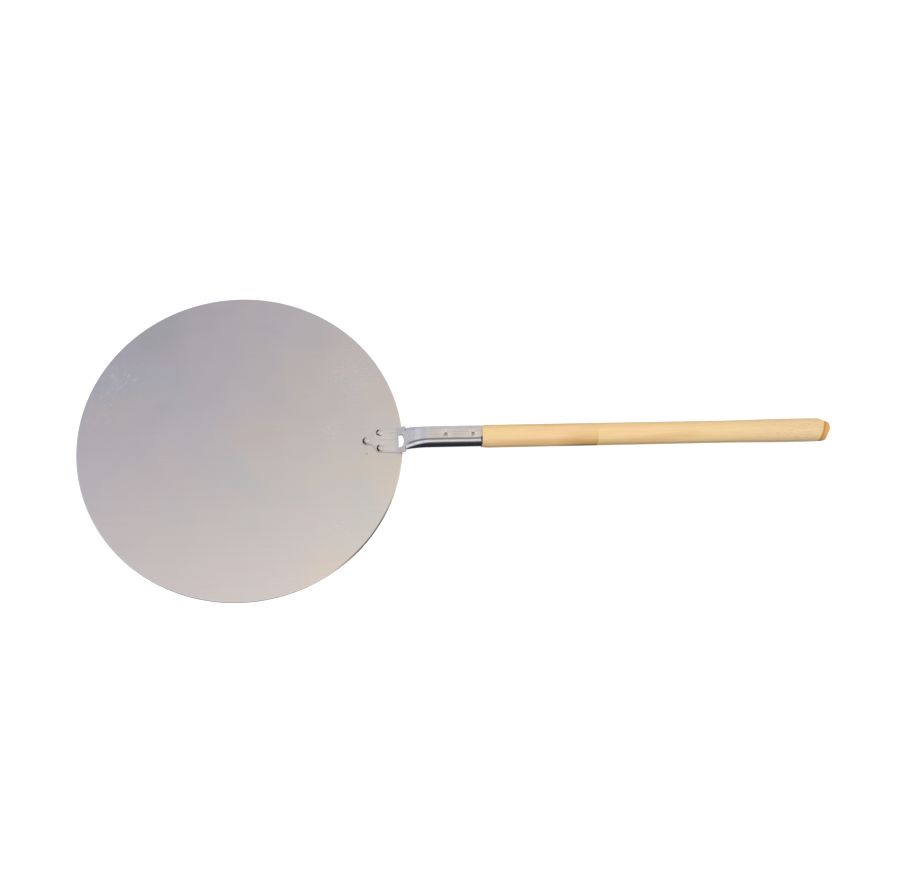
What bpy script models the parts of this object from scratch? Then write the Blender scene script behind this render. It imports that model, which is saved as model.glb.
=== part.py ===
"""Round pizza peel: an aluminium blade, riveted to a formed sheet socket that holds a wooden handle.

Lengths are in metres. +X runs from the blade to the handle's end and +Z is up. The origin is the
blade's centre, on the flat face that the peel rests on.
"""

from math import asin, cos, pi, radians, sin, sqrt, tan

import bmesh
import bpy
from mathutils import Matrix

# Stock and fits
SHEET = 0.0015  # thickness of the blade's and the socket's aluminium sheet
GAP = 0.0003  # clearance between pieces that touch

# Blade
BLADE_RADIUS = 0.1524
BLADE_EDGE = 0.0003  # broken edge all round
RELIEF_START = 0.1480  # the rim is cut away from here, under the socket's opening
RELIEF_HALF_WIDTH = 0.0080

# Rivets: one on the tongue and one on each shoulder of the tang
RIVET_POSITIONS = {
    "rivet_front": (0.1172, 0.0),
    "rivet_rear_left": (0.1305, -0.0078),
    "rivet_rear_right": (0.1305, 0.0078),
}
RIVET_HEAD_RADIUS = 0.0032
RIVET_HEAD_HEIGHT = 0.0013
RIVET_SHANK_RADIUS = 0.0019
RIVET_TAIL_RADIUS = 0.0029
RIVET_TAIL_DEPTH = 0.0008

# Tang: the socket's flat end, from its tongue to its square ears
TANG_TOP = SHEET + GAP + SHEET
TONGUE_CENTRE = 0.1172
TONGUE_RADIUS = 0.0037
SHOULDER_START = 0.1215
SHOULDER_END = 0.1285
SHOULDER_HALF_WIDTH = 0.0112
EAR_END = 0.1550
EAR_HALF_WIDTH = 0.0129

# Opening in the foot of the ramp, D-shaped with its straight side on the bend
OPENING_END = 0.1537
OPENING_HALF_WIDTH = 0.0063
OPENING_OFFSET = -0.0012  # the opening sits a little to the left of the centre line

# Ramp and neck: the sheet climbs from the tang, then wraps round the handle's tenon
BEND = 0.1484
BEND_SLOPE = 1.05
SLIT = 0.0005  # cut between the ears and the wrapped sides
RAMP_END = 0.1780
NECK_HALF_WIDTH = 0.0098
NECK_FLAT = 0.0050  # half width of the flat along the top
NECK_RISE = 0.0085  # top of the neck above the handle's axis
NECK_DEPTH = 0.0173  # top of the neck down to the seam
FOOT_HALF_WIDTH = 0.0109  # the same four sizes where the sides begin, behind the ears
FOOT_FLAT = 0.0088
FOOT_DEPTH = 0.0055
FOOT_WRAP = 0.12
SEAM_HALF_WIDTH = 0.0006

# Handle
AXIS_HEIGHT = 0.0100  # height of the handle's axis above the blade's rim
SLOPE = radians(1.5)
HANDLE_START = 0.2285
HANDLE_END = 0.5845
TENON_START = 0.1770
HANDLE_RADIUS = 0.01115
SWELL_RADIUS = 0.0119

# Nails that pin the neck to the tenon
NAIL_POSITIONS = {"nail_front": 0.1930, "nail_rear": 0.2195}
NAIL_HEAD_RADIUS = 0.0017
NAIL_HEAD_HEIGHT = 0.0005
NAIL_SHANK_RADIUS = 0.0008
NAIL_LENGTH = 0.0100

# Facets
RIM_SIDES = 144
HANDLE_SIDES = 48
RIVET_SIDES = 24
NAIL_SIDES = 12
FLAT_COLUMNS = 3
SHOULDER_COLUMNS = 5
WRAP_COLUMNS = 9
EAR_COLUMNS = 1
SECTION_SHOULDER = 0.28  # shares of a neck section's depth
SECTION_SIDE = 0.20


def mix(start, end, share):
    return start + (end - start) * share


def smooth(share):
    return share * share * (3 - 2 * share)


def axis_height(x):
    return AXIS_HEIGHT + (x - BLADE_RADIUS) * tan(SLOPE)


def axis_frame(x):
    """Frame at station x whose Z lies along the handle's axis and whose X points down from it."""
    return Matrix.Translation((x, 0, axis_height(x))) @ Matrix.Rotation(pi / 2 - SLOPE, 4, "Y")


def new_object(name, mesh, collection):
    piece = bpy.data.objects.new(name, mesh)
    collection.objects.link(piece)
    return piece


def turned(name, profile, sides, collection):
    """A round solid about its own Z, from (radius, height) points that run down its outer side."""
    vertices = [(radius, 0, height) for radius, height in profile]
    edges = [(i, i + 1) for i in range(len(vertices) - 1)]
    mesh = bpy.data.meshes.new(name)
    mesh.from_pydata(vertices, edges, [])
    piece = new_object(name, mesh, collection)
    screw = piece.modifiers.new("turn", "SCREW")
    screw.steps = sides
    screw.render_steps = sides
    screw.use_merge_vertices = True
    screw.merge_threshold = 0.00001
    return piece


def prism(name, outline, start, end, collection, frame=None):
    """A solid with a flat outline of (x, y) points, from height start to height end in its frame."""
    curve = bpy.data.curves.new(name + "_outline", "CURVE")
    curve.dimensions = "2D"
    curve.fill_mode = "BOTH"
    curve.extrude = (end - start) / 2
    spline = curve.splines.new("POLY")
    spline.points.add(len(outline) - 1)
    for point, (x, y) in zip(spline.points, outline):
        point.co = (x, y, 0, 1)
    spline.use_cyclic_u = True
    drawn = new_object(name + "_outline", curve, collection)
    drawn.matrix_world = (frame or Matrix()) @ Matrix.Translation((0, 0, (start + end) / 2))
    bpy.context.view_layer.update()

    evaluated = drawn.evaluated_get(bpy.context.evaluated_depsgraph_get())
    mesh = bpy.data.meshes.new_from_object(evaluated)
    mesh.name = name
    body = bmesh.new()
    body.from_mesh(mesh)
    bmesh.ops.remove_doubles(body, verts=body.verts, dist=0.000001)
    body.to_mesh(mesh)
    body.free()
    piece = new_object(name, mesh, collection)
    piece.matrix_world = drawn.matrix_world.copy()
    bpy.data.objects.remove(drawn)
    return piece


def boolean(piece, other, operation):
    modifier = piece.modifiers.new(other.name, "BOOLEAN")
    modifier.operation = operation
    modifier.object = other
    modifier.solver = "EXACT"


def finish(piece, colour, roughness, metallic):
    """Smooth shading that keeps flat faces flat, and the piece's own material."""
    piece.data.shade_smooth()
    piece.data.set_sharp_from_angle(angle=radians(35))
    shading = piece.modifiers.new("shading", "WEIGHTED_NORMAL")
    shading.keep_sharp = True
    material = bpy.data.materials.new(piece.name)
    material.use_nodes = True
    shader = material.node_tree.nodes["Principled BSDF"]
    shader.inputs["Base Color"].default_value = (*colour, 1)
    shader.inputs["Roughness"].default_value = roughness
    shader.inputs["Metallic"].default_value = metallic
    piece.data.materials.append(material)


# Socket sheet: heights, widths and sections along X

def crown_height(x):
    """Height of the sheet's top surface on the centre line."""
    if x <= BEND:
        return TANG_TOP
    if x >= RAMP_END:
        return axis_height(x) + NECK_RISE
    length = RAMP_END - BEND
    rise = axis_height(RAMP_END) + NECK_RISE - TANG_TOP
    t = (x - BEND) / length
    leave = BEND_SLOPE * length * (t**3 - 2 * t**2 + t)
    arrive = tan(SLOPE) * length * (t**3 - t**2)
    return TANG_TOP + leave + rise * smooth(t) + arrive


def tang_half_width(x):
    """Outline of the tang: round tongue, curved shoulders and sides that flare to the ears."""
    if x < TONGUE_CENTRE:
        return sqrt(max(TONGUE_RADIUS**2 - (TONGUE_CENTRE - x) ** 2, 0))
    if x < SHOULDER_START:
        return TONGUE_RADIUS
    if x < SHOULDER_END:
        share = (x - SHOULDER_START) / (SHOULDER_END - SHOULDER_START)
        return mix(TONGUE_RADIUS, SHOULDER_HALF_WIDTH, smooth(share))
    return mix(SHOULDER_HALF_WIDTH, EAR_HALF_WIDTH, (x - SHOULDER_END) / (EAR_END - SHOULDER_END))


def neck_section(x, inset=0.0):
    """Half of the neck's section at x, as (y, z) points from the top's centre to the seam."""
    start = EAR_END + SLIT
    share = min((x - start) / (RAMP_END - start), 1)
    ease = sin(pi / 2 * share)
    half_width = mix(FOOT_HALF_WIDTH, NECK_HALF_WIDTH, ease) - inset
    flat = mix(FOOT_FLAT, NECK_FLAT, ease)
    full_depth = mix(FOOT_DEPTH, NECK_DEPTH, ease)
    crown = crown_height(x) - inset
    shoulder = SECTION_SHOULDER * full_depth - inset
    side = SECTION_SIDE * full_depth
    belly = full_depth - 2 * inset - shoulder - side

    points = [(flat * i / FLAT_COLUMNS, crown) for i in range(FLAT_COLUMNS + 1)]
    for i in range(1, SHOULDER_COLUMNS + 1):
        angle = pi / 2 * i / SHOULDER_COLUMNS
        points.append((flat + (half_width - flat) * sin(angle), crown - shoulder * (1 - cos(angle))))
    seam_angle = pi / 2 - asin(SEAM_HALF_WIDTH / half_width)
    wrap = mix(FOOT_WRAP, 1, share)
    for i in range(1, WRAP_COLUMNS + 1):
        reach = wrap * i / WRAP_COLUMNS
        angle = seam_angle * max(reach - SECTION_SIDE, 0) / (1 - SECTION_SIDE)
        drop = side * min(reach / SECTION_SIDE, 1)
        points.append((half_width * cos(angle), crown - shoulder - drop - belly * sin(angle)))
    return points


def mirrored(half):
    """Both halves of a row or section, from -Y to +Y, with the centre point once."""
    return [(-y, z) for y, z in reversed(half[1:])] + list(half)


def tang_row(x):
    """Points across the flat end: the ears lie level with the sheet's middle."""
    width = tang_half_width(x)
    inner = width * FOOT_FLAT / EAR_HALF_WIDTH
    half = [(inner * i / FLAT_COLUMNS, crown_height(x)) for i in range(FLAT_COLUMNS + 1)]
    for i in range(1, EAR_COLUMNS + 1):
        half.append((mix(inner, width, i / EAR_COLUMNS), crown_height(x)))
    return mirrored(half)


def steps(start, end, count):
    """Stations from start up to, but not including, end."""
    return [mix(start, end, i / count) for i in range(count)]


def socket_surface():
    """Top surface of the socket's sheet, open along the seam and slit behind both ears."""
    tongue_turns = [pi / 2 * (i + 0.5) / 6 for i in range(6)]
    tang_stations = [TONGUE_CENTRE - TONGUE_RADIUS * cos(turn) for turn in tongue_turns]
    tang_stations += [TONGUE_CENTRE]
    tang_stations += steps(SHOULDER_START, SHOULDER_END, 8)
    tang_stations += steps(SHOULDER_END, BEND, 2)
    tang_stations += steps(BEND, EAR_END, 3) + [EAR_END]
    neck_end = HANDLE_START - GAP
    neck_stations = steps(EAR_END + SLIT, RAMP_END, 12) + steps(RAMP_END, neck_end, 2) + [neck_end]

    body = bmesh.new()

    def add_row(x, points):
        return [body.verts.new((x, y, z)) for y, z in points]

    def bridge(front, rear):
        for i in range(len(front) - 1):
            body.faces.new((front[i], rear[i], rear[i + 1], front[i + 1]))

    tang_rows = [add_row(x, tang_row(x)) for x in tang_stations]
    neck_rows = [add_row(x, mirrored(neck_section(x))) for x in neck_stations]
    for rows in (tang_rows, neck_rows):
        for front, rear in zip(rows, rows[1:]):
            bridge(front, rear)
    outer_tang = EAR_COLUMNS
    outer_neck = SHOULDER_COLUMNS + WRAP_COLUMNS
    bridge(tang_rows[-1][outer_tang:-outer_tang], neck_rows[0][outer_neck:-outer_neck])

    mesh = bpy.data.meshes.new("socket")
    body.to_mesh(mesh)
    body.free()
    return mesh


# Pieces

def make_blade(parts, rivet_holes, relief):
    bpy.ops.mesh.primitive_cylinder_add(
        vertices=RIM_SIDES, radius=BLADE_RADIUS, depth=SHEET, location=(0, 0, SHEET / 2)
    )
    blade = bpy.context.object
    blade.name = "blade"
    for owner in blade.users_collection:
        owner.objects.unlink(blade)
    parts.objects.link(blade)
    edge = blade.modifiers.new("broken_edge", "BEVEL")
    edge.width = BLADE_EDGE
    edge.segments = 1
    edge.limit_method = "ANGLE"
    for cutter in [*rivet_holes, relief]:
        boolean(blade, cutter, "DIFFERENCE")
    finish(blade, (0.70, 0.67, 0.69), 0.38, 1.0)


def make_socket(parts, rivet_holes, nail_holes, opening):
    socket = new_object("socket", socket_surface(), parts)
    sheet = socket.modifiers.new("sheet", "SOLIDIFY")
    sheet.thickness = SHEET
    sheet.offset = -1
    sheet.use_even_offset = True
    for cutter in [*rivet_holes, *nail_holes, opening]:
        boolean(socket, cutter, "DIFFERENCE")
    finish(socket, (0.74, 0.72, 0.75), 0.30, 1.0)


def rivet_profile():
    """Low domed head above the tang, shank, and a tail set flush in the blade's countersink."""
    seat = TANG_TOP + GAP
    rim = 0.0004
    dome = [
        (RIVET_HEAD_RADIUS * sin(pi / 12 * i), seat + mix(rim, RIVET_HEAD_HEIGHT, cos(pi / 12 * i)))
        for i in range(7)
    ]
    return dome + [
        (RIVET_HEAD_RADIUS, seat),
        (RIVET_SHANK_RADIUS, seat),
        (RIVET_SHANK_RADIUS, RIVET_TAIL_DEPTH),
        (RIVET_TAIL_RADIUS, 0),
        (0, 0),
    ]


def make_rivets(parts):
    profile = rivet_profile()
    for name, (x, y) in RIVET_POSITIONS.items():
        rivet = turned(name, profile, RIVET_SIDES, parts)
        rivet.location = (x, y, 0)
        finish(rivet, (0.76, 0.76, 0.78), 0.28, 1.0)


def make_rivet_holes(cutters):
    """Holes for the shanks with a countersink for the tails, GAP larger all round."""
    radius = RIVET_SHANK_RADIUS + GAP
    mouth = RIVET_TAIL_RADIUS + GAP
    below = 0.001
    flare = (mouth - radius) / RIVET_TAIL_DEPTH
    profile = [
        (0, TANG_TOP + SHEET),
        (radius, TANG_TOP + SHEET),
        (radius, RIVET_TAIL_DEPTH),
        (mouth + flare * below, -below),
        (0, -below),
    ]
    holes = []
    for name, (x, y) in RIVET_POSITIONS.items():
        hole = turned(name + "_hole", profile, RIVET_SIDES, cutters)
        hole.location = (x, y, 0)
        hole.rotation_euler.z = pi / RIVET_SIDES
        holes.append(hole)
    return holes


def make_opening(cutters):
    """D-shaped cutter: straight along the bend, round towards the neck."""
    corner = 0.0022
    reach = OPENING_END - BEND - corner
    turns = [pi / 2 * i / 6 for i in range(7)]
    half = [(BEND + corner + reach * sin(turn), OPENING_HALF_WIDTH * cos(turn)) for turn in turns]
    outline = [(BEND, OPENING_HALF_WIDTH)] + half
    outline += [(x, -y) for x, y in reversed(half[:-1])] + [(BEND, -OPENING_HALF_WIDTH)]
    place = Matrix.Translation((0, OPENING_OFFSET, 0))
    return prism("opening", outline, SHEET, crown_height(EAR_END) + SHEET, cutters, place)


def make_relief(cutters):
    """Cuts the blade's rim away under the opening, with rounded inner corners."""
    radius = 0.002
    outline = [(BLADE_RADIUS + radius, -RELIEF_HALF_WIDTH), (BLADE_RADIUS + radius, RELIEF_HALF_WIDTH)]
    for side in (1, -1):
        for i in range(5):
            turn = pi / 8 * (i if side > 0 else 4 - i)
            x = RELIEF_START + radius * (1 - sin(turn))
            outline.append((x, side * (RELIEF_HALF_WIDTH - radius * (1 - cos(turn)))))
    return prism("relief", outline, -SHEET, 2 * SHEET, cutters)


def handle_profile():
    """(radius, distance along the axis from the shoulder) for the grip, from its end backwards."""
    length = (HANDLE_END - HANDLE_START) / cos(SLOPE)
    crown = 0.0016
    end_radius = 0.0092
    chamfer = 0.0085
    cap = [
        (end_radius * sin(pi / 8 * i), length - crown * (1 - cos(pi / 8 * i)))
        for i in range(5)
    ]
    return cap + [
        (mix(end_radius, SWELL_RADIUS, 0.55), length - 0.45 * chamfer),
        (SWELL_RADIUS - 0.0002, length - chamfer),
        (SWELL_RADIUS, length - 0.020),
        (SWELL_RADIUS, length - 0.040),
        (mix(HANDLE_RADIUS, SWELL_RADIUS, 0.75), length - 0.070),
        (mix(HANDLE_RADIUS, SWELL_RADIUS, 0.15), length - 0.093),
        (HANDLE_RADIUS, length - 0.115),
        (HANDLE_RADIUS, 0.008),
        (HANDLE_RADIUS - 0.0007, 0),
        (0, 0),
    ]


def make_handle(parts, cutters, nail_holes):
    handle = turned("handle", handle_profile(), HANDLE_SIDES, parts)
    handle.matrix_world = axis_frame(HANDLE_START)

    half = neck_section(RAMP_END, inset=SHEET + GAP)
    centre = axis_height(RAMP_END)
    outline = [(centre - z, y) for y, z in mirrored(half)]
    overlap = 0.006
    tenon_length = (HANDLE_START - TENON_START) / cos(SLOPE)
    tenon = prism("tenon", outline, 0, tenon_length + overlap, cutters, axis_frame(TENON_START))
    boolean(handle, tenon, "UNION")
    for hole in nail_holes:
        boolean(handle, hole, "DIFFERENCE")
    finish(handle, (0.78, 0.58, 0.33), 0.55, 0.0)


def nail_frame(x):
    """Frame on the neck's flat top at x, with Z square to it."""
    return Matrix.Translation((x, 0, crown_height(x))) @ Matrix.Rotation(-SLOPE, 4, "Y")


def make_nails(parts):
    """Round-headed nails with pointed ends."""
    edge = GAP + 0.0002
    point = 0.002
    dome = [
        (NAIL_HEAD_RADIUS * sin(pi / 8 * i), mix(edge, GAP + NAIL_HEAD_HEIGHT, cos(pi / 8 * i)))
        for i in range(5)
    ]
    profile = dome + [
        (NAIL_HEAD_RADIUS, GAP),
        (NAIL_SHANK_RADIUS, GAP),
        (NAIL_SHANK_RADIUS, point - NAIL_LENGTH),
        (0, -NAIL_LENGTH),
    ]
    for name, x in NAIL_POSITIONS.items():
        nail = turned(name, profile, NAIL_SIDES, parts)
        nail.matrix_world = nail_frame(x)
        finish(nail, (0.55, 0.55, 0.57), 0.40, 1.0)


def make_nail_holes(cutters):
    radius = NAIL_SHANK_RADIUS + GAP
    bottom = -NAIL_LENGTH - GAP
    profile = [(0, SHEET), (radius, SHEET), (radius, bottom), (0, bottom)]
    holes = []
    for name, x in NAIL_POSITIONS.items():
        hole = turned(name + "_hole", profile, NAIL_SIDES, cutters)
        hole.matrix_world = nail_frame(x)
        holes.append(hole)
    return holes


def main():
    for leftover in list(bpy.data.objects):
        bpy.data.objects.remove(leftover)
    parts = bpy.data.collections.new("pizza_peel")
    cutters = bpy.data.collections.new("cutters")
    for collection in (parts, cutters):
        bpy.context.scene.collection.children.link(collection)

    rivet_holes = make_rivet_holes(cutters)
    nail_holes = make_nail_holes(cutters)
    make_blade(parts, rivet_holes, make_relief(cutters))
    make_socket(parts, rivet_holes, nail_holes, make_opening(cutters))
    make_rivets(parts)
    make_handle(parts, cutters, nail_holes)
    make_nails(parts)

    for cutter in cutters.objects:
        cutter.hide_render = True
        cutter.display_type = "WIRE"


main()
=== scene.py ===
from math import asin, cos, pi, radians, sin, sqrt, tan

import bpy
from mathutils import Matrix, Vector


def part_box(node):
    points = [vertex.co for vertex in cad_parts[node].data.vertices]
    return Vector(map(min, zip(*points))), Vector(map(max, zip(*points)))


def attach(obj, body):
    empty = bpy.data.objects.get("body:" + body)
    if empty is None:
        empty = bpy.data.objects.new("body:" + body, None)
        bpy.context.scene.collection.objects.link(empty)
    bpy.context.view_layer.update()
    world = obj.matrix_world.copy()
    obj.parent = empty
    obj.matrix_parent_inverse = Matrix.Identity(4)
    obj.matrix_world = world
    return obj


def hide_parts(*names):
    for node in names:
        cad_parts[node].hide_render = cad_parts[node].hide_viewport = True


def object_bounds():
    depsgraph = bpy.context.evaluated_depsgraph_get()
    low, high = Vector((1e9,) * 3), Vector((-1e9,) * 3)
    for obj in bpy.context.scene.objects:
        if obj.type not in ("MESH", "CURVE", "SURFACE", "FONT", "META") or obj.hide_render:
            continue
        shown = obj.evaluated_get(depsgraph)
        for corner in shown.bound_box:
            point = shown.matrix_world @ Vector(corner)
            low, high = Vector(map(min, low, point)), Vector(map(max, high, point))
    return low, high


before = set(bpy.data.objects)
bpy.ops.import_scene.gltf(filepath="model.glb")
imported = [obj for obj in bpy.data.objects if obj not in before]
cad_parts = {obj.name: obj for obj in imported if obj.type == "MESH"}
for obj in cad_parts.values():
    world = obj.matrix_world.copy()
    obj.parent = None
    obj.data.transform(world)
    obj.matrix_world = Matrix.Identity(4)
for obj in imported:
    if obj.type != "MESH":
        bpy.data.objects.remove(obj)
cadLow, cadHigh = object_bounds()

# Lengths are in metres. +X runs from the blade's centre along the handle and +Z is up.

bladeHigh, socketHigh, handleHigh = [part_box(node)[1] for node in ("blade", "socket", "handle")]
rivetNodes = ("rivet_front", "rivet_rear_left", "rivet_rear_right")
nailNodes = ("nail_front", "nail_rear")
rimRadius = bladeHigh.y
sheet = bladeHigh.z
clearance = 0.0003  # between pieces that touch
tangTop = sheet + clearance + sheet


def middleOf(node):
    low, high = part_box(node)
    return (low + high) / 2


def mix(start, end, share):
    return start + (end - start) * share


def smooth(share):
    share = min(max(share, 0), 1)
    return share * share * (3 - 2 * share)


def deselectAll():
    bpy.ops.object.select_all(action="DESELECT")


def settle(piece, name):
    # the finished piece sits at the origin, unturned and unscaled
    deselectAll()
    piece.select_set(True)
    bpy.context.view_layer.objects.active = piece
    bpy.ops.object.transform_apply(location=True, rotation=True, scale=True)
    piece.name = name
    piece.data.name = name


def applyModifiers(piece):
    deselectAll()
    piece.select_set(True)
    bpy.context.view_layer.objects.active = piece
    for modifier in list(piece.modifiers):
        bpy.ops.object.modifier_apply(modifier=modifier.name)


def pickFaces(piece, test):
    # goes into edit mode with only the faces selected that pass the test
    bpy.context.view_layer.objects.active = piece
    bpy.ops.object.mode_set(mode="EDIT")
    bpy.ops.mesh.select_mode(type="FACE")
    bpy.ops.mesh.select_all(action="DESELECT")
    bpy.ops.object.mode_set(mode="OBJECT")
    for face in piece.data.polygons:
        face.select = test(piece.matrix_world @ face.center, face.normal)
    bpy.ops.object.mode_set(mode="EDIT")


def pickEdges(piece, test):
    # the same for edges, tested by their two ends
    bpy.context.view_layer.objects.active = piece
    bpy.ops.object.mode_set(mode="EDIT")
    bpy.ops.mesh.select_mode(type="EDGE")
    bpy.ops.mesh.select_all(action="DESELECT")
    bpy.ops.object.mode_set(mode="OBJECT")
    corners = piece.data.vertices
    for edge in piece.data.edges:
        ends = [piece.matrix_world @ corners[i].co for i in edge.vertices]
        edge.select = test(*ends)
    bpy.ops.object.mode_set(mode="EDIT")


def cutAway(piece, cutters, operation="DIFFERENCE"):
    # also joins, with the operation UNION, and removes the cutters afterwards
    for cutter in cutters:
        cut = piece.modifiers.new("cut", "BOOLEAN")
        cut.operation = operation
        cut.object = cutter
        cut.solver = "EXACT"
    applyModifiers(piece)
    for cutter in cutters:
        bpy.data.objects.remove(cutter)


def shadeByAngle(piece, angle):
    deselectAll()
    piece.select_set(True)
    bpy.context.view_layer.objects.active = piece
    bpy.ops.object.shade_smooth_by_angle(angle=radians(angle))
    evenShading = piece.modifiers.new("evenShading", "WEIGHTED_NORMAL")
    evenShading.keep_sharp = True


def turnRings(rings, sides, pole=True):
    # like turning on a lathe: a disc is extruded and scaled through (radius, height) rings
    deselectAll()
    radius, height = rings[0]
    bpy.ops.mesh.primitive_circle_add(
        vertices=sides, radius=radius, fill_type="NGON", location=(0, 0, height)
    )
    piece = bpy.context.object
    bpy.ops.object.mode_set(mode="EDIT")
    bpy.ops.mesh.select_mode(type="FACE")
    bpy.ops.mesh.select_all(action="SELECT")
    for (radius, height), (nextRadius, nextHeight) in zip(rings, rings[1:]):
        rise = (0, 0, nextHeight - height)
        bpy.ops.mesh.extrude_region_move(TRANSFORM_OT_translate={"value": rise})
        growth = nextRadius / radius
        bpy.ops.transform.resize(value=(growth, growth, 1), center_override=(0, 0, nextHeight))
    if pole:
        bpy.ops.mesh.poke()
    bpy.ops.mesh.select_all(action="SELECT")
    bpy.ops.mesh.normals_make_consistent(inside=False)
    bpy.ops.object.mode_set(mode="OBJECT")
    settle(piece, "turned")
    return piece


def copyTo(piece, name, move):
    # a copy with its own mesh
    deselectAll()
    piece.select_set(True)
    bpy.context.view_layer.objects.active = piece
    bpy.ops.object.duplicate(linked=False)
    copied = bpy.context.object
    copied.matrix_world = move
    settle(copied, name)
    return copied


# Materials

def hexColour(text):
    # sRGB hex to the linear values that shader sockets take
    parts = [int(text[i:i + 2], 16) / 255 for i in (0, 2, 4)]
    return (*[p / 12.92 if p <= 0.04045 else ((p + 0.055) / 1.055) ** 2.4 for p in parts], 1)


def addNode(tree, kind, values=None, links=None, **settings):
    # one node: its own settings, its sockets' fixed values, and the outputs linked into it
    node = tree.nodes.new(kind)
    for key, value in settings.items():
        setattr(node, key, value)
    for socket, value in (values or {}).items():
        node.inputs[socket].default_value = value
    for socket, source in (links or {}).items():
        tree.links.new(source, node.inputs[socket])
    return node


def startMaterial(name):
    material = bpy.data.materials.new(name)
    material.use_nodes = True
    tree = material.node_tree
    shader = tree.nodes["Principled BSDF"]
    place = addNode(tree, "ShaderNodeTexCoord")
    return material, tree, shader, place.outputs["Object"]


def combine(tree, operation, *masks):
    # folds masks into one: MULTIPLY is where all of them hold, MAXIMUM is where any does
    folded = masks[0]
    for mask in masks[1:]:
        folded = addNode(tree, "ShaderNodeMath", None, {0: folded, 1: mask},
                         operation=operation).outputs[0]
    return folded


def layColours(tree, ground, layers):
    # lays each hex colour over the ground, a hex colour or an output, as far as its mask says
    for colour, mask in layers:
        values = {7: hexColour(colour)}
        links = {0: mask}
        if isinstance(ground, str):
            values[6] = hexColour(ground)
        else:
            links[6] = ground
        ground = addNode(tree, "ShaderNodeMix", values, links, data_type="RGBA").outputs[2]
    return ground


def finishSurface(tree, shader, look, colour, grain, height=None, dents=False):
    # the noise that marks the surface also moves its gloss between the two roughness values
    low, high = look["roughness"]
    gloss = addNode(tree, "ShaderNodeMapRange", {1: 0.3, 2: 0.7, 3: low, 4: high}, {0: grain})
    tree.links.new(colour, shader.inputs["Base Color"])
    tree.links.new(gloss.outputs[0], shader.inputs["Roughness"])
    shader.inputs["Metallic"].default_value = look["metallic"]
    if height is not None:
        strength, depth = look["bump"]
        bump = addNode(tree, "ShaderNodeBump", {"Strength": strength, "Distance": depth},
                       {"Height": height}, invert=dents)
        tree.links.new(bump.outputs[0], shader.inputs["Normal"])


def patch(tree, place, centre, reach, most=1.0):
    # a round patch: its most at the centre, falling smoothly to 0 at its reach
    away = addNode(tree, "ShaderNodeVectorMath", {1: centre}, {0: place}, operation="DISTANCE")
    return addNode(tree, "ShaderNodeMapRange", {1: reach, 2: reach * 0.25, 4: most},
                   {0: away.outputs["Value"]}, interpolation_type="SMOOTHSTEP").outputs[0]


def sootAndShadowRounds(tree, place, inner, outer):
    # brown soot with painted shadow on the blade's side of each rivet: broken crescents between two
    # radii, standing in for the shadow along the heads' edges
    crumbSize = 0.0022
    crumbs = addNode(tree, "ShaderNodeTexNoise", {"Scale": 1 / crumbSize, "Detail": 2.0},
                     {"Vector": place})
    broken = addNode(tree, "ShaderNodeMapRange", {1: 0.40, 2: 0.47}, {0: crumbs.outputs[0]})
    flat = addNode(tree, "ShaderNodeVectorMath", {1: (1, 1, 0)}, {0: place}, operation="MULTIPLY")
    crescents = []
    for node in rivetNodes:
        centre = middleOf(node)
        offset = addNode(tree, "ShaderNodeVectorMath", {1: (centre.x, centre.y, 0)},
                         {0: flat.outputs[0]}, operation="SUBTRACT")
        away = addNode(tree, "ShaderNodeVectorMath", None, {0: offset.outputs[0]},
                       operation="LENGTH")
        inside = addNode(tree, "ShaderNodeMapRange", {1: outer, 2: outer - 0.0006},
                         {0: away.outputs["Value"]})
        outside = addNode(tree, "ShaderNodeMapRange", {1: inner - 0.0004, 2: inner},
                          {0: away.outputs["Value"]})
        split = addNode(tree, "ShaderNodeSeparateXYZ", None, {0: offset.outputs[0]})
        facing = addNode(tree, "ShaderNodeMapRange", {1: -0.0004, 2: -0.0018}, {0: split.outputs[0]})
        crescents.append(combine(tree, "MULTIPLY", inside.outputs[0], outside.outputs[0],
                                 facing.outputs[0]))
    return combine(tree, "MULTIPLY", combine(tree, "MAXIMUM", *crescents), broken.outputs[0])


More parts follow.
